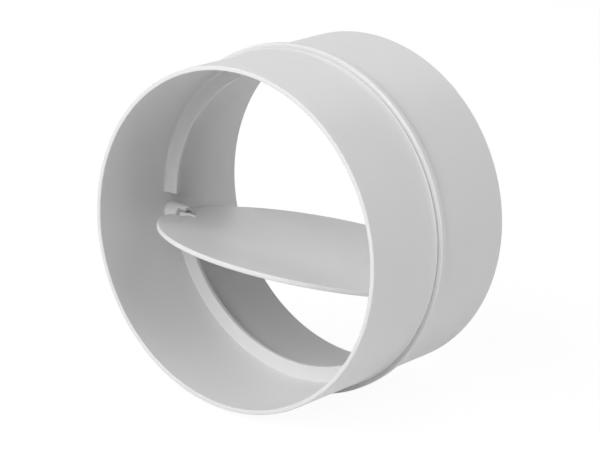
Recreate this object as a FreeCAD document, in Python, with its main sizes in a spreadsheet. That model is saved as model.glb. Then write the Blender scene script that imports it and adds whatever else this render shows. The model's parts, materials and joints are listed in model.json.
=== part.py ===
import FreeCAD, Part
import Sketcher
import os

# Backdraft damper for round duct, in millimetres.
# The duct runs along Y, air flows towards +Y, and +Z is up.
# The origin is on the duct's centre line, at the plane where the front duct stops on the bead.

doc = FreeCAD.newDocument("backdraft_damper")

# Driving sizes
driving_sizes = {
    # tube and the two spigots that the ducts push on
    "duct_diameter": 100.0,
    "wall_thickness": 1.35,
    "front_length": 28.2,
    "rear_length": 29.85,
    "rim_chamfer": 0.3,
    # bead between the spigots: a low ramp, then a raised band with a leaning front face
    "ramp_length": 1.35,
    "ramp_height": 0.3,
    "bead_height": 1.6,
    "bead_width": 2.4,
    "bead_lean": 0.2,
    "bead_chamfer": 0.35,
    "bead_foot_chamfer": 0.3,
    # half-ring stops that the closed blade rests on
    "stop_reach": 4.45,
    "stop_thickness": 1.5,
    "stop_lip_chamfer": 0.25,
    "stop_root_chamfer": 0.6,
    "stop_end_gap": 6.4,
    "stop_clearance": 0.3,
    # hinge axis, from the origin plane and from the centre line
    "hinge_setback": 3.25,
    "hinge_drop": 10.36,
    "open_angle": 98.25,
    # blade
    "blade_edge_gap": 1.85,
    "blade_thickness": 1.5,
    "blade_chamfer": 0.35,
    # pins of the blade
    "pin_diameter": 2.9,
    "pin_rib_length": 6.3,
    "pin_end_chamfer": 0.4,
    # bearing lugs of the housing: a bored ring with an open hood in front of it
    "bore_clearance": 0.08,
    "bore_depth": 3.26,
    "bore_end_clearance": 0.3,
    "lug_wall": 1.52,
    "hood_length": 2.3,
    "hood_above_axis": 120.0,
    "hood_below_axis": 30.0,
    # cut-outs of the blade round the lugs
    "notch_side_clearance": 0.4,
    "notch_edge_clearance": 1.45,
}

sheet = doc.addObject("Spreadsheet::Sheet", "sizes")
for row, (alias, value) in enumerate(driving_sizes.items(), start=1):
    sheet.set(f"A{row}", alias)
    sheet.set(f"B{row}", str(value))
    sheet.setAlias(f"B{row}", alias)
doc.recompute()

# Sizes that follow from the driving ones, written as expressions
tube_radius = "sizes.duct_diameter / 2"
inner_radius = f"({tube_radius} - sizes.wall_thickness)"
bead_start = "(sizes.ramp_length + sizes.bead_lean)"
bead_end = f"({bead_start} + sizes.bead_width)"
bead_radius = f"({tube_radius} + sizes.bead_height)"
ramp_radius = f"({tube_radius} + sizes.ramp_height)"
stop_radius = f"({inner_radius} - sizes.stop_reach)"
blade_radius = f"({inner_radius} - sizes.blade_edge_gap)"
blade_to_stop = "(sizes.blade_thickness / 2 + sizes.stop_clearance)"
pin_radius = "(sizes.pin_diameter / 2)"
bore_radius = f"({pin_radius} + sizes.bore_clearance)"
lug_radius = f"({bore_radius} + sizes.lug_wall)"
# the bore ends where the lug's lower side meets the tube's inner wall
bore_floor = f"sqrt({inner_radius} ^ 2 - (sizes.hinge_drop + {lug_radius}) ^ 2)"
lug_face = f"({bore_floor} - sizes.bore_depth)"
hood_face = f"({lug_face} - sizes.hood_length)"


def size(expression):
    """Value of an expression, as a plain number."""
    return float(sheet.evalExpression(expression))


def sketch_on(body, plane, name):
    """New sketch on one of the body's own origin planes."""
    sketch = body.newObject("Sketcher::SketchObject", name)
    origin_planes = {item.Role: item for item in body.Origin.OriginFeatures}
    sketch.AttachmentSupport = (origin_planes[plane], [""])
    sketch.MapMode = "FlatFace"
    return sketch


def hold(sketch, kind, expression, label, *points):
    """Add a dimension to a sketch and tie it to an expression."""
    index = sketch.addConstraint(Sketcher.Constraint(kind, *points, size(expression)))
    sketch.renameConstraint(index, label)
    sketch.setExpression(f"Constraints.{label}", expression)


def closed_outline(sketch, corners):
    """Closed outline of straight lines; each corner is (label, across, up) from the origin."""
    points = [FreeCAD.Vector(size(across), size(up), 0) for label, across, up in corners]
    for start, end in zip(points, points[1:] + points[:1]):
        sketch.addGeometry(Part.LineSegment(start, end), False)
    for line, (label, across, up) in enumerate(corners):
        following = (line + 1) % len(corners)
        sketch.addConstraint(Sketcher.Constraint("Coincident", line, 2, following, 1))
        if across == "0":
            sketch.addConstraint(Sketcher.Constraint("PointOnObject", line, 1, -2))
        else:
            hold(sketch, "DistanceX", across, f"{label}_across", -1, 1, line, 1)
        if up == "0":
            sketch.addConstraint(Sketcher.Constraint("PointOnObject", line, 1, -1))
        else:
            hold(sketch, "DistanceY", up, f"{label}_up", -1, 1, line, 1)


def chamfer_edges(body, base, name, width, chosen):
    """Chamfer on the edges of a feature that the test picks out."""
    doc.recompute()
    edges = [f"Edge{number}" for number, edge in enumerate(base.Shape.Edges, start=1) if chosen(edge)]
    chamfer = body.newObject("PartDesign::Chamfer", name)
    chamfer.Base = (base, edges)
    chamfer.setExpression("Size", width)
    return chamfer


def lies_at(edge, along, radius, slack=0.01):
    """True for an arc about the duct's centre line at this place along it and this radius."""
    curve = edge.Curve
    if not isinstance(curve, Part.Circle):
        return False
    centre = curve.Center
    on_axis = abs(centre.x) < slack and abs(centre.z) < slack
    return on_axis and abs(centre.y - along) < slack and abs(curve.Radius - radius) < slack


# Tube with its bead, turned about the duct's centre line
tube = doc.addObject("PartDesign::Body", "tube")
wall_outline = sketch_on(tube, "YZ_Plane", "wall_outline")
closed_outline(wall_outline, [
    ("front_inside", "-sizes.front_length", inner_radius),
    ("front_outside", "-sizes.front_length", tube_radius),
    ("ramp_foot", "0", tube_radius),
    ("ramp_top", "sizes.ramp_length", ramp_radius),
    ("bead_front", bead_start, bead_radius),
    ("bead_back", bead_end, bead_radius),
    ("bead_foot", bead_end, tube_radius),
    ("rear_outside", f"{bead_end} + sizes.rear_length", tube_radius),
    ("rear_inside", f"{bead_end} + sizes.rear_length", inner_radius),
])
wall = tube.newObject("PartDesign::Revolution", "wall")
wall.Profile = wall_outline
wall.ReferenceAxis = (wall_outline, ["H_Axis"])
wall.Angle = 360

# Stops: half rings inside the tube, one in front of the blade above the axis,
# the other behind it below the axis
upper_stop_back = f"(sizes.hinge_setback - {blade_to_stop})"
lower_stop_front = f"(sizes.hinge_setback + {blade_to_stop})"


def add_stop(name, near, far, side, angle):
    """Half ring of rectangular section, set into the wall and centred above or below."""
    section = sketch_on(tube, "YZ_Plane", f"{name}_section")
    root_radius = f"({inner_radius} + sizes.wall_thickness / 2)"
    closed_outline(section, [
        ("lip_near", near, f"{side}{stop_radius}"),
        ("root_near", near, f"{side}{root_radius}"),
        ("root_far", far, f"{side}{root_radius}"),
        ("lip_far", far, f"{side}{stop_radius}"),
    ])
    ring = tube.newObject("PartDesign::Revolution", name)
    ring.Profile = section
    ring.ReferenceAxis = (section, ["H_Axis"])
    ring.Midplane = True
    ring.setExpression("Angle", angle)
    return ring


upper_stop = add_stop(
    "upper_stop", f"({upper_stop_back} - sizes.stop_thickness)", upper_stop_back, "",
    f"2 * (90 deg + asin((sizes.hinge_drop - sizes.stop_end_gap) / {inner_radius}))",
)
lower_stop = add_stop(
    "lower_stop", lower_stop_front, f"({lower_stop_front} + sizes.stop_thickness)", "-",
    f"2 * acos((sizes.hinge_drop + sizes.stop_end_gap) / {inner_radius})",
)

# Broken edges of the tube, each named by its place along the duct and its radius
front_rim = size("-sizes.front_length")
rear_rim = size(f"{bead_end} + sizes.rear_length")
upper_stop_faces = (size(f"{upper_stop_back} - sizes.stop_thickness"), size(upper_stop_back))
lower_stop_faces = (size(lower_stop_front), size(f"{lower_stop_front} + sizes.stop_thickness"))
broken_edges = {
    "stop_root_chamfer": [
        (upper_stop_faces[0], size(inner_radius)),
        (lower_stop_faces[1], size(inner_radius)),
    ],
    "stop_lip_chamfer": [(along, size(stop_radius)) for along in upper_stop_faces + lower_stop_faces],
    "bead_foot_chamfer": [(size(bead_end), size(tube_radius))],
    "bead_chamfer": [(size(bead_start), size(bead_radius)), (size(bead_end), size(bead_radius))],
    "rim_chamfer": [
        (along, radius)
        for along in (front_rim, rear_rim)
        for radius in (size(inner_radius), size(tube_radius))
    ],
}
last_feature = lower_stop
for name, places in broken_edges.items():
    last_feature = chamfer_edges(
        tube, last_feature, name, f"sizes.{name}",
        lambda edge, places=places: any(lies_at(edge, along, radius) for along, radius in places),
    )
tube.Tip = last_feature

# Bearing lugs, drawn about the hinge axis: a bored ring with an open hood in front of it
lugs = doc.addObject("PartDesign::Body", "bearing_lugs")
lugs.Placement.Base = FreeCAD.Vector(0, size("sizes.hinge_setback"), size("-sizes.hinge_drop"))
lugs.setExpression("Placement.Base.y", "sizes.hinge_setback")
lugs.setExpression("Placement.Base.z", "-sizes.hinge_drop")

ring_outline = sketch_on(lugs, "XY_Plane", "ring_outline")
closed_outline(ring_outline, [
    ("end_middle", f"-({tube_radius})", "0"),
    ("end_outside", f"-({tube_radius})", lug_radius),
    ("face_outside", f"-{lug_face}", lug_radius),
    ("face_bore", f"-{lug_face}", bore_radius),
    ("floor_bore", f"-{bore_floor}", bore_radius),
    ("floor_middle", f"-{bore_floor}", "0"),
])
lug_ring = lugs.newObject("PartDesign::Revolution", "lug_ring")
lug_ring.Profile = ring_outline
lug_ring.ReferenceAxis = (ring_outline, ["H_Axis"])
lug_ring.Angle = 360

hood_outline = sketch_on(lugs, "XY_Plane", "hood_outline")
closed_outline(hood_outline, [
    ("ring_bore", f"-{lug_face}", bore_radius),
    ("ring_outside", f"-{lug_face}", lug_radius),
    ("hood_outside", f"-{hood_face}", lug_radius),
    ("hood_bore", f"-{hood_face}", bore_radius),
])
hood = lugs.newObject("PartDesign::Revolution", "hood")
hood.Profile = hood_outline
hood.ReferenceAxis = (hood_outline, ["H_Axis"])
hood.Type = "TwoAngles"
hood.setExpression("Angle", "sizes.hood_above_axis")
hood.setExpression("Angle2", "sizes.hood_below_axis")

both_lugs = lugs.newObject("PartDesign::Mirrored", "both_lugs")
both_lugs.Originals = [lug_ring, hood]
origin_planes = {item.Role: item for item in lugs.Origin.OriginFeatures}
both_lugs.MirrorPlane = (origin_planes["YZ_Plane"], [""])
lugs.Tip = both_lugs

# The lugs end inside the tube's wall
wall_core = doc.addObject("Part::Cylinder", "wall_core")
wall_core.Placement = FreeCAD.Placement(
    FreeCAD.Vector(0, size("-sizes.front_length"), 0),
    FreeCAD.Rotation(FreeCAD.Vector(1, 0, 0), -90),
)
wall_core.setExpression("Placement.Base.y", "-sizes.front_length")
wall_core.setExpression("Radius", f"{inner_radius} + sizes.wall_thickness / 2")
wall_core.setExpression("Height", f"sizes.front_length + {bead_end} + sizes.rear_length")
fitted_lugs = doc.addObject("Part::Common", "fitted_lugs")
fitted_lugs.Base = lugs
fitted_lugs.Tool = wall_core

housing = doc.addObject("Part::Fuse", "housing")
housing.Label = "housing"
housing.Base = tube
housing.Tool = fitted_lugs

# Blade, drawn closed about the hinge axis: its centre stands above the axis
blade = doc.addObject("PartDesign::Body", "damper_blade")
blade.Label = "damper_blade"
blade.Placement = FreeCAD.Placement(
    FreeCAD.Vector(0, size("sizes.hinge_setback"), size("-sizes.hinge_drop")),
    FreeCAD.Rotation(FreeCAD.Vector(-1, 0, 0), size("sizes.open_angle")),
)
blade.setExpression("Placement.Base.y", "sizes.hinge_setback")
blade.setExpression("Placement.Base.z", "-sizes.hinge_drop")
blade.setExpression("Placement.Rotation.Angle", "sizes.open_angle")

disc_outline = sketch_on(blade, "XZ_Plane", "disc_outline")
disc_centre = FreeCAD.Vector(0, size("sizes.hinge_drop"), 0)
disc_outline.addGeometry(Part.Circle(disc_centre, FreeCAD.Vector(0, 0, 1), size(blade_radius)), False)
disc_outline.addConstraint(Sketcher.Constraint("PointOnObject", 0, 3, -2))
hold(disc_outline, "DistanceY", "sizes.hinge_drop", "centre_above_axis", -1, 1, 0, 3)
hold(disc_outline, "Radius", blade_radius, "disc_radius", 0)
disc = blade.newObject("PartDesign::Pad", "disc")
disc.Profile = disc_outline
disc.Midplane = True
disc.setExpression("Length", "sizes.blade_thickness")

chamfer_edges(
    blade, disc, "disc_edge", "sizes.blade_chamfer", lambda edge: isinstance(edge.Curve, Part.Circle),
)

# Cut-outs that leave the lugs free: deeper on the side that swings past the hoods
notch_height = f"({lug_radius} + sizes.notch_edge_clearance)"
notch_front = f"-({lug_face} - sizes.notch_side_clearance)"
notch_back = f"-({hood_face} - sizes.notch_side_clearance)"
notch_open = f"-({tube_radius})"
notch_outline = sketch_on(blade, "XZ_Plane", "notch_outline")
closed_outline(notch_outline, [
    ("open_below", notch_open, f"-{notch_height}"),
    ("front_below", notch_front, f"-{notch_height}"),
    ("front_step", notch_front, "0"),
    ("back_step", notch_back, "0"),
    ("back_above", notch_back, notch_height),
    ("open_above", notch_open, notch_height),
])
notch = blade.newObject("PartDesign::Pocket", "notch")
notch.Profile = notch_outline
notch.Midplane = True
notch.setExpression("Length", "2 * sizes.blade_thickness")

# Pins, half sunk in the blade as short ribs
pin_end = f"({bore_floor} - sizes.bore_end_clearance)"
rib_end = f"({lug_face} - sizes.pin_rib_length)"
pin_outline = sketch_on(blade, "XY_Plane", "pin_outline")
closed_outline(pin_outline, [
    ("tip_middle", f"-{pin_end}", "0"),
    ("tip_edge", f"-{pin_end}", f"{pin_radius} - sizes.pin_end_chamfer"),
    ("tip_side", f"-({pin_end} - sizes.pin_end_chamfer)", pin_radius),
    ("rib_side", f"-({rib_end} + sizes.pin_end_chamfer)", pin_radius),
    ("rib_edge", f"-{rib_end}", f"{pin_radius} - sizes.pin_end_chamfer"),
    ("rib_middle", f"-{rib_end}", "0"),
])
pin = blade.newObject("PartDesign::Revolution", "pin")
pin.Profile = pin_outline
pin.ReferenceAxis = (pin_outline, ["H_Axis"])
pin.Angle = 360

both_sides = blade.newObject("PartDesign::Mirrored", "both_sides")
both_sides.Originals = [notch, pin]
origin_planes = {item.Role: item for item in blade.Origin.OriginFeatures}
both_sides.MirrorPlane = (origin_planes["YZ_Plane"], [""])
blade.Tip = both_sides

doc.recompute()

# Nothing is written unless every object is sound
sub_parts = [housing, blade]
for item in doc.Objects:
    if "Invalid" in item.State or "Error" in item.State:
        raise RuntimeError(f"{item.Label} failed to build: {item.State}")
for item in sub_parts:
    if item.Shape.isNull() or not item.Shape.isValid() or len(item.Shape.Solids) != 1:
        raise RuntimeError(f"{item.Label} is not one sound solid")

os.makedirs("parts", exist_ok=True)
for item in sub_parts:
    item.Shape.exportStep(f"parts/{item.Label}.step")
    box = item.Shape.BoundBox
    print(item.Label, "volume", round(item.Shape.Volume, 1), "mm3, from",
          [round(value, 2) for value in (box.XMin, box.YMin, box.ZMin)], "to",
          [round(value, 2) for value in (box.XMax, box.YMax, box.ZMax)])
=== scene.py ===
import json
import math
import bmesh
import bpy
from mathutils import Matrix, Vector


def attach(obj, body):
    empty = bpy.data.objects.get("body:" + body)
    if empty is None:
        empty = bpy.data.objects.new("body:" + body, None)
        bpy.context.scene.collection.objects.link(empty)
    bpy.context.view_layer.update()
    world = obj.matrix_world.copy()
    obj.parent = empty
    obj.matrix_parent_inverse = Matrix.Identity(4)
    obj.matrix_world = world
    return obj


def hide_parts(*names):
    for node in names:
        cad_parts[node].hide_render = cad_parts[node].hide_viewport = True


# Backdraft damper: a moulded tube with a bead and two half-ring stops, and a pivoted disc in it.
# The duct runs along Y and the hinge along X. Settings are in millimetres and degrees, apart from
# the noise scales, which count to the metre, and the lamps' power in watts.

mm = 0.001
weldDistance = 0.0005 * mm
cornerSteps = 5
bladeThickness = 1.5
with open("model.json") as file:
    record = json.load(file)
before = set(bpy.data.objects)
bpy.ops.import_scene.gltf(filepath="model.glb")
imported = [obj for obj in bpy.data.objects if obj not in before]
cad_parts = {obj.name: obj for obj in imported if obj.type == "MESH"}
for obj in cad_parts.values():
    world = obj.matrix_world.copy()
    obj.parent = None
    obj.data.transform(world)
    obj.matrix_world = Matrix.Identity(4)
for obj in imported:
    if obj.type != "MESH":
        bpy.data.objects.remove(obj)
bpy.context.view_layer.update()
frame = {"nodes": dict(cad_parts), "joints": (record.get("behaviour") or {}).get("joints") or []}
hinge = frame["joints"][0]
hingePlace = Vector(hinge["pos_m"])
openAngle = math.radians(hinge["range_deg"][1])
print("frame loaded:", sorted(frame["nodes"]))

# Mesh helpers


def newPiece(name, vertices, edges=(), faces=()):
    mesh = bpy.data.meshes.new(name)
    mesh.from_pydata(vertices, edges, faces)
    piece = bpy.data.objects.new(name, mesh)
    bpy.context.scene.collection.objects.link(piece)
    return piece


def settle(piece):
    # the result of the piece's modifiers becomes its own mesh
    bpy.context.view_layer.update()
    evaluated = piece.evaluated_get(bpy.context.evaluated_depsgraph_get())
    plain = bpy.data.meshes.new_from_object(evaluated)
    piece.modifiers.clear()
    piece.data = plain


def closeUp(piece, sharpAngle=32):
    # weld, close the open ends, face outwards, and shade smooth except at the sharp edges
    work = bmesh.new()
    work.from_mesh(piece.data)
    bmesh.ops.remove_doubles(work, verts=work.verts, dist=weldDistance)
    bmesh.ops.dissolve_degenerate(work, edges=work.edges, dist=0.4 * weldDistance)
    bmesh.ops.holes_fill(work, edges=[edge for edge in work.edges if edge.is_boundary])
    bmesh.ops.recalc_face_normals(work, faces=work.faces)
    for face in work.faces:
        face.smooth = True
    limit = math.radians(sharpAngle)
    for edge in work.edges:
        edge.smooth = len(edge.link_faces) == 2 and edge.calc_face_angle() < limit
    work.to_mesh(piece.data)
    work.free()


def weldTo(piece, other, flatAngle=0.02):
    # union of two closed pieces; the second is used up, and flat faces that it split are joined
    modifier = piece.modifiers.new("weld", "BOOLEAN")
    modifier.operation = "UNION"
    modifier.solver = "EXACT"
    modifier.object = other
    settle(piece)
    bpy.data.objects.remove(other)
    work = bmesh.new()
    work.from_mesh(piece.data)
    bmesh.ops.dissolve_limit(work, angle_limit=math.radians(flatAngle), verts=work.verts,
                             edges=work.edges)
    work.to_mesh(piece.data)
    work.free()
    closeUp(piece)


def weightNormals(piece, weight=80):
    # the large faces set the shading, so only the rounded edges catch a highlight
    modifier = piece.modifiers.new("weightedNormals", "WEIGHTED_NORMAL")
    modifier.keep_sharp = True
    modifier.weight = weight
    settle(piece)


# Turned shapes: the tube with its stops, the bearing lugs and the pins are sections turned about
# an axis. A Geometry Nodes tree does the turning. The piece's own mesh is the closed section, out
# along Z, with these attributes on its corners:
#   rounding  radius of the corner
#   side      0 is there all the way round, any other number only at the stations of that side
#   bareShift how the corner moves where its side is missing, up to the tree's Bare Limit
#   drawIn    how the corner moves for each metre that a station draws the section in
# The stations are the points of a second mesh, each one (turn, draw, side). Where the side
# changes, the faces are left out, and closeUp fills the end of the stop or hood with one face.


def turnedShapeTree():
    tree = bpy.data.node_groups.new("turnedShape", "GeometryNodeTree")
    far = 1.0
    for name, kind, value in (
        ("Section", "NodeSocketGeometry", None),
        ("Stations", "NodeSocketObject", None),
        ("Axis Place", "NodeSocketVector", (0, 0, 0)),
        ("Axis Direction", "NodeSocketVector", (1, 0, 0)),
        ("Corner Steps", "NodeSocketInt", cornerSteps),
        ("Bare Limit", "NodeSocketVector", (far, far, far)),
        ("Mirror In X", "NodeSocketBool", False),
        ("Weld Distance", "NodeSocketFloat", weldDistance),
        ("Material", "NodeSocketMaterial", None),
    ):
        socket = tree.interface.new_socket(name, in_out="INPUT", socket_type=kind)
        if value is not None:
            socket.default_value = value
    tree.interface.new_socket("Shape", in_out="OUTPUT", socket_type="NodeSocketGeometry")

    def node(kind, settings=None, **inputs):
        made = tree.nodes.new(kind)
        for name, value in (settings or {}).items():
            setattr(made, name, value)
        for name, value in inputs.items():
            plug(value, made.inputs[name.replace("_", " ")])
        return made

    def plug(value, socket):
        if isinstance(value, bpy.types.NodeSocket):
            tree.links.new(value, socket)
        else:
            socket.default_value = value

    def calculate(kind, operation, *values):
        made = node(kind, {"operation": operation})
        for socket, value in zip(made.inputs, values):
            plug(value, socket)
        return made.outputs[0]

    def number(operation, *values):
        return calculate("ShaderNodeMath", operation, *values)

    def vector(operation, *values):
        return calculate("ShaderNodeVectorMath", operation, *values)

    def pointCount(geometry, component):
        made = node("GeometryNodeAttributeDomainSize", {"component": component}, Geometry=geometry)
        return made.outputs["Point Count"]

    def attribute(name, kind):
        made = node("GeometryNodeInputNamedAttribute", {"data_type": kind}, Name=name)
        return made.outputs[0]

    def sampled(geometry, kind, value, at):
        made = node("GeometryNodeSampleIndex", {"data_type": kind, "domain": "POINT"},
                    Geometry=geometry, Value=value, Index=at)
        return made.outputs[0]

    given = node("NodeGroupInput").outputs

    # section with rounded corners
    section = node("GeometryNodeMeshToCurve", Mesh=given["Section"])
    fillet = node("GeometryNodeFilletCurve", {"mode": "POLY"}, Curve=section.outputs[0],
                  Count=given["Corner Steps"], Radius=attribute("rounding", "FLOAT"),
                  Limit_Radius=True)
    outline = fillet.outputs["Curve"]
    outlinePoints = pointCount(outline, "CURVE")

    stations = node("GeometryNodeObjectInfo", Object=given["Stations"]).outputs["Geometry"]
    stationCount = pointCount(stations, "MESH")

    # a grid with a row for each section point and a column for each station
    grid = node("GeometryNodeMeshGrid", Vertices_X=number("ADD", outlinePoints, 1),
                Vertices_Y=stationCount)
    index = node("GeometryNodeInputIndex").outputs[0]
    row = number("FLOOR", number("DIVIDE", number("ADD", index, 0.5), stationCount))
    column = number("SUBTRACT", index, number("MULTIPLY", row, stationCount))
    outlineIndex = number("MODULO", row, outlinePoints)

    position = node("GeometryNodeInputPosition").outputs[0]
    place = sampled(outline, "FLOAT_VECTOR", position, outlineIndex)
    side = sampled(outline, "FLOAT", attribute("side", "FLOAT"), outlineIndex)
    bareShift, drawIn = [
        sampled(outline, "FLOAT_VECTOR", attribute(name, "FLOAT_VECTOR"), outlineIndex)
        for name in ("bareShift", "drawIn")]
    station = sampled(stations, "FLOAT_VECTOR", position, column)
    stationParts = node("ShaderNodeSeparateXYZ", Vector=station).outputs
    turn, draw, stationSide = stationParts["X"], stationParts["Y"], stationParts["Z"]

    # where the point's side is missing it goes to its bare place, and otherwise it is drawn in
    hasSide = number("GREATER_THAN", number("ABSOLUTE", side), 0.5)
    differs = number("GREATER_THAN", number("ABSOLUTE", number("SUBTRACT", side, stationSide)), 0.5)
    bare = vector("MINIMUM", vector("ADD", place, bareShift), given["Bare Limit"])
    drawnIn = node("ShaderNodeVectorMath", {"operation": "SCALE"}, Vector=drawIn, Scale=draw)
    drawn = vector("ADD", place, drawnIn.outputs[0])
    isBare = number("MULTIPLY", hasSide, differs)
    chosen = node("GeometryNodeSwitch", {"input_type": "VECTOR"})
    for socket, value in zip(chosen.inputs, (isBare, drawn, bare)):
        plug(value, socket)
    turned = node("ShaderNodeVectorRotate", {"rotation_type": "AXIS_ANGLE"},
                  Vector=chosen.outputs[0], Axis=given["Axis Direction"], Angle=turn)
    placed = node("GeometryNodeSetPosition", Geometry=grid.outputs["Mesh"],
                  Position=vector("ADD", turned.outputs[0], given["Axis Place"]))

    # the faces between two stations with different sides are left out
    sideHere = node("GeometryNodeFieldOnDomain", {"domain": "POINT", "data_type": "FLOAT"},
                    Value=stationSide).outputs[0]
    fromHalf = number("ABSOLUTE", number("SUBTRACT", number("ABSOLUTE", sideHere), 0.5))
    opened = node("GeometryNodeDeleteGeometry", {"domain": "FACE"}, Geometry=placed.outputs[0],
                  Selection=number("LESS_THAN", fromHalf, 0.25))
    welded = node("GeometryNodeMergeByDistance", Geometry=opened.outputs[0],
                  Distance=given["Weld Distance"]).outputs[0]

    # the same shape on the other side of the duct
    otherSide = node("GeometryNodeTransform", Geometry=welded, Scale=(-1, 1, 1))
    both = node("GeometryNodeJoinGeometry", Geometry=welded)
    plug(otherSide.outputs[0], both.inputs[0])
    whole = node("GeometryNodeSwitch", {"input_type": "GEOMETRY"})
    for socket, value in zip(whole.inputs, (given["Mirror In X"], welded, both.outputs[0])):
        plug(value, socket)
    realized = node("GeometryNodeRealizeInstances", Geometry=whole.outputs[0])
    coated = node("GeometryNodeSetMaterial", Geometry=realized.outputs[0],
                  Material=given["Material"])
    node("NodeGroupOutput", Shape=coated.outputs[0])
    return tree


turnedShape = turnedShapeTree()


def corner(along, out, rounding=0.0, side=0, bareShift=(0, 0), drawIn=(0, 0)):
    return {"place": (along, out), "rounding": rounding, "side": side, "bareShift": bareShift,
            "drawIn": drawIn}


def turnStations(step, spans=(), rounding=0.0, reach=1.0, margin=1.5, shut=1e-5):
    # Stations of one full turn, as (turn, draw, side). A side is there over its span (side, first,
    # last). Near an end of a span, stations that round the end at this reach from the axis take the
    # place of the even ones, and one just past the end shuts it.
    ends = [(side, end, inward) for side, first, last in spans
            for end, inward in ((first, 1), (last, -1)) if abs(end) < 180]
    keptOff = math.degrees(margin * rounding / reach)
    stations = []
    for index in range(round(360 / step) + 1):
        turn = index * step - 180
        if all(abs(turn - end) > keptOff for side, end, inward in ends):
            present = [side for side, first, last in spans if first <= turn <= last]
            stations.append((turn, 0.0, present[0] if present else 0))
    for side, end, inward in ends:
        for index in range(cornerSteps + 1):
            share = math.radians(90 * index / cornerSteps)
            fromEnd = math.degrees(rounding * (1 - math.sin(share)) / reach)
            stations.append((end + inward * fromEnd, rounding * (1 - math.cos(share)), side))
        stations.append((end - inward * shut, 0.0, 0))
    return sorted(stations)


def turnSection(name, corners, stations, material, axis="X", place=(0, 0, 0), bareOut=None,
                mirror=False):
    # a section's (along, out) turned about an axis through a place
    def inPlane(pair):
        along, out = pair
        return Vector((along, 0, out) if axis == "X" else (0, along, out)) * mm

    count = len(corners)
    piece = newPiece(name, [inPlane(one["place"]) for one in corners],
                     [(index, (index + 1) % count) for index in range(count)])
    for key, kind, field, written in (
        ("rounding", "FLOAT", "value", lambda rounding: rounding * mm),
        ("side", "FLOAT", "value", float),
        ("bareShift", "FLOAT_VECTOR", "vector", inPlane),
        ("drawIn", "FLOAT_VECTOR", "vector", lambda pair: inPlane(pair) / mm),
    ):
        values = piece.data.attributes.new(key, kind, "POINT").data
        for value, one in zip(values, corners):
            setattr(value, field, written(one[key]))
    stationPoints = newPiece(name + "Stations", [(math.radians(turn), draw * mm, side)
                                                 for turn, draw, side in stations])
    modifier = piece.modifiers.new("turned", "NODES")
    modifier.node_group = turnedShape
    inputs = {item.name: item.identifier for item in turnedShape.interface.items_tree
              if item.in_out == "INPUT"}
    modifier[inputs["Stations"]] = stationPoints
    modifier[inputs["Axis Place"]] = place
    modifier[inputs["Axis Direction"]] = (1, 0, 0) if axis == "X" else (0, 1, 0)
    if bareOut is not None:
        modifier[inputs["Bare Limit"]] = (1, 1, bareOut * mm)
    modifier[inputs["Mirror In X"]] = mirror
    modifier[inputs["Material"]] = material
    settle(piece)
    bpy.data.objects.remove(stationPoints)
    closeUp(piece)
    return piece


# Materials

plasticSettings = {
    "base": 0.72,
    "shadeSpread": 0.012,
    "roughness": 0.42,
    "roughnessSpread": 0.05,
    "roughnessScale": 152.0,
    "refraction": 1.5,
    "specularLevel": 0.3,
    "grainScale": 2600.0,
    "grainHeight": 0.004,
    "waveScale": 38.0,
    "waveHeight": 0.02,
    "noiseRange": (0.3, 0.7),
}


def mouldedPlastic(name, settings):
    # off-white plastic: a fine matt grain, slow waves from cooling and a faint cloudiness
    material = bpy.data.materials.new(name)
    material.use_nodes = True
    nodes, links = material.node_tree.nodes, material.node_tree.links
    shader = nodes["Principled BSDF"]
    place = nodes.new("ShaderNodeTexCoord").outputs["Object"]

    def noise(scale, detail):
        made = nodes.new("ShaderNodeTexNoise")
        made.inputs["Scale"].default_value = scale
        made.inputs["Detail"].default_value = detail
        links.new(place, made.inputs["Vector"])
        return made.outputs["Fac"]

    def varied(source, middle, stray):
        # the noise as a value that strays from the middle to both sides
        made = nodes.new("ShaderNodeMapRange")
        limits = (*settings["noiseRange"], middle - stray, middle + stray)
        for socket, limit in zip(("From Min", "From Max", "To Min", "To Max"), limits):
            made.inputs[socket].default_value = limit
        links.new(source, made.inputs["Value"])
        return made.outputs["Result"]

    def bumps(height, depth):
        made = nodes.new("ShaderNodeBump")
        made.inputs["Strength"].default_value = 1.0
        made.inputs["Distance"].default_value = depth * mm
        links.new(height, made.inputs["Height"])
        return made

    cloud = varied(noise(settings["waveScale"], 3.0), settings["base"], settings["shadeSpread"])
    tint = nodes.new("ShaderNodeCombineColor")
    for socket in tint.inputs[:3]:
        links.new(cloud, socket)
    links.new(tint.outputs["Color"], shader.inputs["Base Color"])
    rough = varied(noise(settings["roughnessScale"], 4.0), settings["roughness"],
                   settings["roughnessSpread"])
    links.new(rough, shader.inputs["Roughness"])
    shader.inputs["IOR"].default_value = settings["refraction"]
    shader.inputs["Specular IOR Level"].default_value = settings["specularLevel"]
    wave = bumps(noise(settings["waveScale"], 1.0), settings["waveHeight"])
    grain = bumps(noise(settings["grainScale"], 2.0), settings["grainHeight"])
    links.new(wave.outputs["Normal"], grain.inputs["Normal"])
    links.new(grain.outputs["Normal"], shader.inputs["Normal"])
    return material


housingPlastic = mouldedPlastic("housingPlastic", plasticSettings)
bladePlastic = mouldedPlastic("bladePlastic", plasticSettings)

# Housing: the tube, with a bead outside and a half-ring stop inside before and behind the blade

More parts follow.
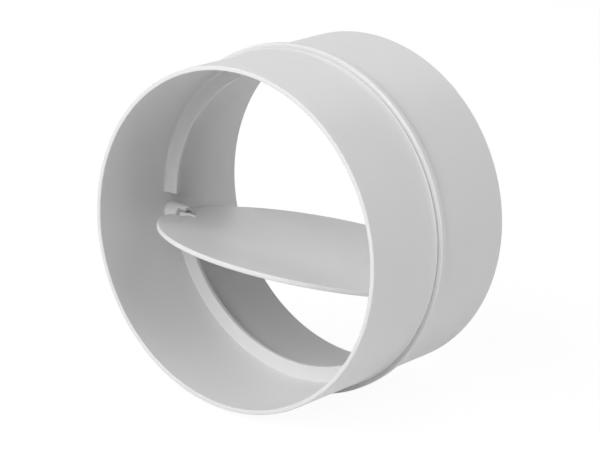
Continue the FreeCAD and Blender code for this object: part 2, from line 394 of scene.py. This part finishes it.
tubeSettings = {
    "radius": 50.0,
    "wall": 1.35,
    "frontRim": -28.2,
    "rearRim": 33.8,
    "rimRounding": 0.35,
    "rampFront": -1.0,
    "rampFrontRounding": 2.0,
    "rampMiddle": 0.3,
    "rampMiddleShare": 0.3,
    "rampMiddleRounding": 1.0,
    "rampBack": 1.1,
    "rampBackRounding": 0.08,
    "rampHeight": 0.42,
    "grooveDepth": 0.1,
    "grooveFrontRounding": 0.05,
    "grooveBackRounding": 0.15,
    "beadFront": 1.55,
    "beadBack": 3.95,
    "beadHeight": 1.6,
    "beadFrontRounding": 0.4,
    "beadBackRounding": 0.8,
    "footRounding": 0.8,
    "stopClearance": 0.3,
    "stopReach": 4.45,
    "stopThickness": 1.5,
    "stopLip": 0.3,
    "stopRoot": 0.9,
    "stopToe": 0.05,
    "stopEndGap": 6.4,
    "stopEndRounding": 0.3,
    "turnStep": 1.0,
}


def makeTube(settings):
    outer = settings["radius"]
    inner = outer - settings["wall"]
    bead, ramp = outer + settings["beadHeight"], outer + settings["rampHeight"]
    groove = outer - settings["grooveDepth"]
    lip = inner - settings["stopReach"]
    gone = (0, settings["stopReach"])
    toStop = bladeThickness / 2 + settings["stopClearance"]
    middle = hingePlace.y / mm
    upperBack, upperFront = middle - toStop, middle - toStop - settings["stopThickness"]
    lowerFront, lowerBack = middle + toStop, middle + toStop + settings["stopThickness"]
    rim, root, lipEdge = settings["rimRounding"], settings["stopRoot"], settings["stopLip"]
    toe = root + settings["stopToe"]
    # the outside from front to rear, then the inside back to the front
    section = [
        corner(settings["frontRim"], outer, rim),
        corner(settings["rampFront"], outer, settings["rampFrontRounding"]),
        corner(settings["rampMiddle"], outer + settings["rampMiddleShare"] * settings["rampHeight"],
               settings["rampMiddleRounding"]),
        corner(settings["rampBack"], ramp, settings["rampBackRounding"]),
        corner(settings["rampBack"], groove, settings["grooveFrontRounding"]),
        corner(settings["beadFront"], groove, settings["grooveBackRounding"]),
        corner(settings["beadFront"], bead, settings["beadFrontRounding"]),
        corner(settings["beadBack"], bead, settings["beadBackRounding"]),
        corner(settings["beadBack"], outer, settings["footRounding"]),
        corner(settings["rearRim"], outer, rim),
        corner(settings["rearRim"], inner, rim),
        corner(lowerBack + toe, inner),
        corner(lowerBack, inner, root, 1, gone, (-1, 0)),
        corner(lowerBack, lip, lipEdge, 1, gone, (-1, 1)),
        corner(lowerFront, lip, lipEdge, 1, gone, (1, 1)),
        corner(lowerFront, inner, 0, 1, gone, (1, 0)),
        corner(lowerFront, inner),
        corner(upperBack, inner),
        corner(upperBack, inner, 0, -1, gone, (-1, 0)),
        corner(upperBack, lip, lipEdge, -1, gone, (-1, 1)),
        corner(upperFront, lip, lipEdge, -1, gone, (1, 1)),
        corner(upperFront, inner, root, -1, gone, (1, 0)),
        corner(upperFront - toe, inner),
        corner(settings["frontRim"], inner, rim),
    ]
    # each stop ends short of the hinge, measured up and down from the duct's centre line
    drop = -hingePlace.z / mm
    upperEnd = 90 + math.degrees(math.asin((drop - settings["stopEndGap"]) / inner))
    lowerEnd = 90 + math.degrees(math.asin((drop + settings["stopEndGap"]) / inner))
    spans = [(-1, -upperEnd, upperEnd), (1, lowerEnd, 180), (1, -180, -lowerEnd)]
    stations = turnStations(settings["turnStep"], spans, settings["stopEndRounding"], inner)
    return turnSection("housingMoulding", section, stations, housingPlastic, "Y", bareOut=inner)


housing = makeTube(tubeSettings)
print("tube turned:", len(housing.data.polygons), "faces")

# Bearing lugs: a bored ring on the wall at each end of the hinge, with a hood over part of its turn

lugSettings = {
    "radius": 3.05,
    "bore": 1.53,
    "boreFloor": 46.76,
    "face": 43.5,
    "hoodFace": 41.2,
    "hoodBore": 1.95,
    "hoodSpan": (-120, 30),
    "edgeRounding": 0.2,
    "turnStep": 5.0,
}


def addLugs(settings):
    edge, face, hoodFace = settings["edgeRounding"], settings["face"], settings["hoodFace"]
    outside = tubeSettings["radius"]
    gone = (hoodFace - face, 0)
    section = [
        corner(-outside, 0),
        corner(-outside, settings["radius"]),
        corner(-face - edge, settings["radius"]),
        corner(-hoodFace, settings["radius"], edge, 1, gone, (-1, -1)),
        corner(-hoodFace, settings["hoodBore"], 0, 1, gone, (-1, 1)),
        corner(-face, settings["hoodBore"]),
        corner(-face, settings["bore"], edge),
        corner(-settings["boreFloor"], settings["bore"]),
        corner(-settings["boreFloor"], 0),
    ]
    spans = [(1, *settings["hoodSpan"])]
    stations = turnStations(settings["turnStep"], spans, edge, settings["hoodBore"])
    lugs = turnSection("bearingLugs", section, stations, housingPlastic, place=hingePlace,
                       mirror=True)
    # the outer ends follow the middle of the tube's wall
    middle = (outside - tubeSettings["wall"] / 2) * mm
    for vertex in lugs.data.vertices:
        reach = math.sqrt(middle ** 2 - vertex.co.z ** 2)
        if abs(vertex.co.x) > reach:
            vertex.co.x = math.copysign(reach, vertex.co.x)
    weldTo(housing, lugs)


addLugs(lugSettings)
weightNormals(housing)


def roundNormals(piece, margin=0.02, endSlope=0.03):
    # the tube is round, so its normals have no part along the turn, however wide the faces are;
    # the lugs, and faces that slope along the turn such as the stops' ends, keep theirs
    mesh = piece.data
    inner = (tubeSettings["radius"] - tubeSettings["wall"] - margin) * mm
    lug = (lugSettings["radius"] + margin) * mm
    normals = []
    for face in mesh.polygons:
        middle = face.center
        onLug = (math.hypot(middle.x, middle.z) < inner
                 and math.hypot(middle.y - hingePlace.y, middle.z - hingePlace.z) < lug)
        around = Vector((middle.z, 0, -middle.x)).normalized()
        keep = onLug or abs(face.normal.dot(around)) > endSlope
        for loop in face.loop_indices:
            normal = mesh.corner_normals[loop].vector.copy()
            if not keep:
                place = mesh.vertices[mesh.loops[loop].vertex_index].co
                around = Vector((place.z, 0, -place.x)).normalized()
                normal = (normal - around * normal.dot(around)).normalized()
            normals.append(normal)
    mesh.normals_split_custom_set(normals)


roundNormals(housing)
print("lugs joined:", len(housing.data.polygons), "faces")

# Blade: a plate with a rounded edge, notched round the lugs, with a pin half sunk in each side

bladeSettings = {
    "radius": 46.8,
    "frontHalfWidth": 47.8,
    "frontReach": 46.4,
    "frontShift": 0.4,
    "edgeRounding": 0.4,
    "edgeRidge": 0.05,
    "edgeSteps": 5,
    "rimStep": 1.0,
    "notchHeight": 4.5,
    "notchDepth": 40.6,
    "notchFront": 43.0,
    "notchRounding": 0.5,
    "pinRadius": 1.2,
    "pinEnd": 46.46,
    "pinRounding": 0.4,
    "pinTurnStep": 5.0,
    "ribEnd": 37.9,
    "ribRounding": 0.6,
}


def roundedOutline(corners, steps):
    # closed outline through corners (along, out, rounding)
    points = []
    for index, (along, out, rounding) in enumerate(corners):
        place = Vector((along, out))
        if not rounding:
            points.append(place)
            continue
        toBefore = (Vector(corners[index - 1][:2]) - place).normalized()
        toAfter = (Vector(corners[(index + 1) % len(corners)][:2]) - place).normalized()
        half = toBefore.angle(toAfter) / 2
        centre = place + (toBefore + toAfter).normalized() * rounding / math.sin(half)
        reach = rounding / math.tan(half)
        first = place + toBefore * reach - centre
        last = place + toAfter * reach - centre
        points += [centre + first.slerp(last, step / steps) * rounding
                   for step in range(steps + 1)]
    return points


def bladeOutline(settings):
    # plan of the closed blade, (across, up) from the hinge: the part above it, then the front
    # part below it, which is an oval a little wider than the round part above
    drop = -hingePlace.z / mm
    ridge, rounding = settings["edgeRidge"], settings["notchRounding"]
    backRim = (settings["radius"] - ridge, settings["radius"] - ridge, drop)
    frontRim = (settings["frontHalfWidth"] - ridge, settings["frontReach"] - ridge,
                drop - settings["frontShift"])
    height, depth, front = settings["notchHeight"], settings["notchDepth"], settings["notchFront"]
    rimStep = settings["rimStep"]

    def rim(oval, first, last):
        # points of an oval (half width, reach, middle) between two turns, clear of both ends
        halfWidth, reach, middle = oval
        first, last = first + rimStep, last - rimStep
        count = round((last - first) / rimStep)
        turns = [math.radians(first + (last - first) * step / count) for step in range(1, count)]
        return [(halfWidth * math.cos(turn), middle + reach * math.sin(turn), 0) for turn in turns]

    above = math.asin((height - backRim[2]) / backRim[1])
    aboveAcross, aboveTurn = backRim[0] * math.cos(above), math.degrees(above)
    below = math.acos(front / frontRim[0])
    belowUp, belowTurn = frontRim[2] - frontRim[1] * math.sin(below), math.degrees(below)

    def notch(side):
        # close in beside the hinge, then straight on to the front rim, so that the blade passes
        # the lug
        return [(aboveAcross * side, height, rounding), (depth * side, height, rounding),
                (depth * side, -height, rounding), (front * side, -height, rounding),
                (front * side, belowUp, rounding)]

    corners = (rim(backRim, aboveTurn, 180 - aboveTurn) + notch(-1)
               + rim(frontRim, 180 + belowTurn, 360 - belowTurn) + notch(1)[::-1])
    return roundedOutline(corners, settings["edgeSteps"])


def makeBlade(settings):
    outline = bladeOutline(settings)
    count = len(outline)
    outward = []
    for index in range(count):
        along = outline[(index + 1) % count] - outline[index - 1]
        outward.append(Vector((along.y, -along.x)).normalized())
    # the edge as levels (depth, inset) from the front face to the back, with a faint parting ridge
    half, rounding = bladeThickness / 2, settings["edgeRounding"]
    ridge, steps = settings["edgeRidge"], settings["edgeSteps"]
    turns = [math.radians(90 * step / steps) for step in range(steps + 1)]
    levels = [(-half + rounding * (1 - math.cos(turn)), rounding * (1 - math.sin(turn)))
              for turn in turns]
    levels.append((-ridge, 0))
    levels += [(0, -ridge)] + [(-depth, inset) for depth, inset in reversed(levels)]
    vertices = []
    for depth, inset in levels:
        for point, away in zip(outline, outward):
            moved = point - away * inset
            vertices.append(Vector((moved.x, depth, moved.y)) * mm)
    last = count * (len(levels) - 1)
    faces = [range(count), range(last, last + count)]
    for level in range(len(levels) - 1):
        for index in range(count):
            here, after = level * count + index, level * count + (index + 1) % count
            faces.append((here, after, after + count, here + count))
    plate = newPiece("damperBlade", vertices, faces=faces)
    closeUp(plate)
    pins = turnSection("bladePins", [
        corner(-settings["pinEnd"], 0),
        corner(-settings["pinEnd"], settings["pinRadius"], settings["pinRounding"]),
        corner(-settings["ribEnd"], settings["pinRadius"], settings["ribRounding"]),
        corner(-settings["ribEnd"], 0),
    ], turnStations(settings["pinTurnStep"]), bladePlastic, mirror=True)
    weldTo(plate, pins)
    plate.data.transform(Matrix.Translation(hingePlace) @ Matrix.Rotation(-openAngle, 4, "X"))
    weightNormals(plate)
    return plate


blade = makeBlade(bladeSettings)
print("blade made:", len(blade.data.polygons), "faces")

for piece, plastic, node, body, slot in (
    (housing, housingPlastic, "housing", "housing", "housing_plastic"),
    (blade, bladePlastic, "damper_blade", "blade", "blade_plastic"),
):
    piece.data.materials.clear()
    piece.data.materials.append(plastic)
    piece.data.polygons.foreach_set("material_index", [0] * len(piece.data.polygons))
    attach(piece, body)
    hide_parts(node)
for node in frame["nodes"].values():
    node.data.materials.clear()
    node.data.materials.append(bladePlastic if node.name == "damper_blade" else housingPlastic)
print("pieces ride on their bodies")

# Stage, light and camera

stageSettings = {
    "floorDrop": 51.62,
    "floorSize": 9000.0,
    "floorColor": 0.82,
    "floorRoughness": 0.9,
    "shadowShare": 0.12,
    "cameraGlow": 1.06,
    "worldGrey": 0.0,
}


def seenDirectly(nodes, links):
    # 1 for what the camera, gloss or glass looks at, 0 for the light that the object gets
    paths = nodes.new("ShaderNodeLightPath")
    seen = paths.outputs["Is Camera Ray"]
    for name in ("Is Glossy Ray", "Is Transmission Ray"):
        either = nodes.new("ShaderNodeMath")
        either.operation = "MAXIMUM"
        links.new(seen, either.inputs[0])
        links.new(paths.outputs[name], either.inputs[1])
        seen = either.outputs[0]
    return seen


def whiteForCamera(material, glow, share):
    # plain white to look at, with only a share of the floor's own shading
    nodes, links = material.node_tree.nodes, material.node_tree.links
    white = nodes.new("ShaderNodeEmission")
    white.inputs["Strength"].default_value = glow
    factor = nodes.new("ShaderNodeMath")
    factor.operation = "MULTIPLY"
    factor.inputs[1].default_value = 1 - share
    links.new(seenDirectly(nodes, links), factor.inputs[0])
    mix = nodes.new("ShaderNodeMixShader")
    links.new(factor.outputs[0], mix.inputs[0])
    links.new(nodes["Principled BSDF"].outputs[0], mix.inputs[1])
    links.new(white.outputs[0], mix.inputs[2])
    links.new(mix.outputs[0], nodes["Material Output"].inputs["Surface"])


def makeFloor(settings):
    half = settings["floorSize"] / 2 * mm
    level = -settings["floorDrop"] * mm
    floor = newPiece("floor", [(-half, -half, level), (half, -half, level), (half, half, level),
                               (-half, half, level)], faces=[(0, 1, 2, 3)])
    material = bpy.data.materials.new("paleFloor")
    material.use_nodes = True
    shader = material.node_tree.nodes["Principled BSDF"]
    shader.inputs["Base Color"].default_value = (*[settings["floorColor"]] * 3, 1)
    shader.inputs["Roughness"].default_value = settings["floorRoughness"]
    whiteForCamera(material, settings["cameraGlow"], settings["shadowShare"])
    floor.data.materials.append(material)


makeFloor(stageSettings)

world = bpy.data.worlds.new("studio")
bpy.context.scene.world = world
world.use_nodes = True
worldNodes, worldLinks = world.node_tree.nodes, world.node_tree.links
studio = worldNodes["Background"]
studio.inputs["Color"].default_value = (*[stageSettings["worldGrey"]] * 3, 1)
backdrop = worldNodes.new("ShaderNodeBackground")
backdrop.inputs["Color"].default_value = (1, 1, 1, 1)
worldMix = worldNodes.new("ShaderNodeMixShader")
worldLinks.new(seenDirectly(worldNodes, worldLinks), worldMix.inputs[0])
worldLinks.new(studio.outputs[0], worldMix.inputs[1])
worldLinks.new(backdrop.outputs[0], worldMix.inputs[2])
worldLinks.new(worldMix.outputs[0], worldNodes["World Output"].inputs["Surface"])

# each lamp is a name, its azimuth and elevation, and its power
lampSettings = {
    "distance": 1300,
    "size": 800,
    "lamps": [
        ("frontLeft", -35, 34, 8.3),
        ("front", 5, 34, 9.2),
        ("right", 95, 34, 6.6),
        ("backLeft", 200, 58, 3.3),
    ],
}


def addLamp(name, azimuth, elevation, power):
    # square softbox aimed at the part; azimuth 0 stands in front of it and 90 to its right
    data = bpy.data.lights.new(name, "AREA")
    data.shape = "SQUARE"
    data.size = lampSettings["size"] * mm
    data.energy = power
    lamp = bpy.data.objects.new(name, data)
    bpy.context.scene.collection.objects.link(lamp)
    turn, rise = math.radians(azimuth), math.radians(elevation)
    level = math.cos(rise)
    back = Vector((math.sin(turn) * level, -math.cos(turn) * level, math.sin(rise)))
    lamp.location = back * lampSettings["distance"] * mm
    lamp.rotation_mode = "QUATERNION"
    lamp.rotation_quaternion = back.to_track_quat("Z", "Y")


for lamp in lampSettings["lamps"]:
    addLamp(*lamp)

cameraSettings = {
    "place": (462.25, -621.64, 260.90),
    "azimuth": 36.46,
    "elevation": 18.67,
    "roll": 4.82,
    "lens": 170.655,
    "sensor": 36,
    "clipStart": 50,
}
camera = bpy.data.objects.new("camera", bpy.data.cameras.new("camera"))
bpy.context.scene.collection.objects.link(camera)
bpy.context.scene.camera = camera
camera.data.lens = cameraSettings["lens"]
camera.data.sensor_width = cameraSettings["sensor"]
camera.data.clip_start = cameraSettings["clipStart"] * mm
camera.rotation_mode = "QUATERNION"
camera.rotation_quaternion = (
    Matrix.Rotation(math.radians(cameraSettings["azimuth"]), 3, "Z")
    @ Matrix.Rotation(math.radians(90 - cameraSettings["elevation"]), 3, "X")
    @ Matrix.Rotation(math.radians(cameraSettings["roll"]), 3, "Z")
).to_quaternion()
camera.location = Vector(cameraSettings["place"]) * mm

scene = bpy.context.scene
scene.view_settings.view_transform = "Standard"
print("stage, lamps and camera set")
